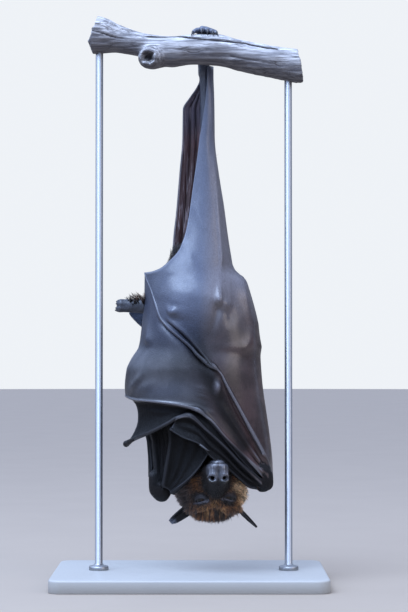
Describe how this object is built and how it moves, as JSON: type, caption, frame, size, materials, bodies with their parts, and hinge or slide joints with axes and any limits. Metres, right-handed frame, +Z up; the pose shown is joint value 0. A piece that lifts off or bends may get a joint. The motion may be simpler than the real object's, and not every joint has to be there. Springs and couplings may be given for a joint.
{
  "type": "hanging fruit bat on a display stand",
  "caption": "Large flying fox at rest, hanging head down by one foot from a driftwood perch with its wings wrapped round it, held by a plain stand.",
  "frame": {"origin": "centre of the underside of the stand's base", "axes": "+Z up, from the bat's ears to the foot that holds the wood; the bat faces -Y; its own right side is +X"},
  "size_m": [0.25, 0.17, 0.5245],
  "materials": {
    "wing_skin": "black-brown wing skin with a dull satin sheen",
    "bare_skin": "dark bare skin, finely wrinkled",
    "fur_body": "dark brown fur",
    "fur_head": "russet and golden brown fur, blackish round the muzzle",
    "eye": "wet, dark brown",
    "claw": "black horn, half gloss",
    "driftwood": "weathered silver-grey wood",
    "stand_paint": "light grey satin lacquer",
    "stand_steel": "brushed steel"
  },
  "bodies": {
    "root": {"claw_foot_left_1": "claw", "claw_foot_left_2": "claw", "claw_foot_left_3": "claw", "claw_foot_left_4": "claw", "claw_foot_left_5": "claw", "claw_foot_right_1": "claw", "claw_foot_right_2": "claw", "claw_foot_right_3": "claw", "claw_foot_right_4": "claw", "claw_foot_right_5": "claw", "claw_index_right": "claw", "claw_thumb_left": "claw", "claw_thumb_right": "claw", "ear_left": "bare_skin", "ear_right": "bare_skin", "eye_left": "eye", "eye_right": "eye", "foot_left": "bare_skin", "foot_right": "bare_skin", "forearm_left": "bare_skin", "forearm_right": "bare_skin", "head": "fur_head", "leg_skin_right": "wing_skin", "neck": "fur_head", "perch_branch": "driftwood", "shank_left": "bare_skin", "shank_right": "bare_skin", "stand_base": "stand_paint", "stand_rod_left": "stand_steel", "stand_rod_right": "stand_steel", "thigh_left": "fur_body", "thigh_right": "fur_body", "thumb_left": "bare_skin", "thumb_right": "bare_skin", "trunk": "fur_body", "upper_arm_left": "fur_body", "upper_arm_right": "fur_body", "wing_left_arm_skin": "wing_skin", "wing_left_hand": "wing_skin", "wing_right_arm_skin": "wing_skin", "wing_right_hand": "wing_skin"}
  },
  "joints": []
}
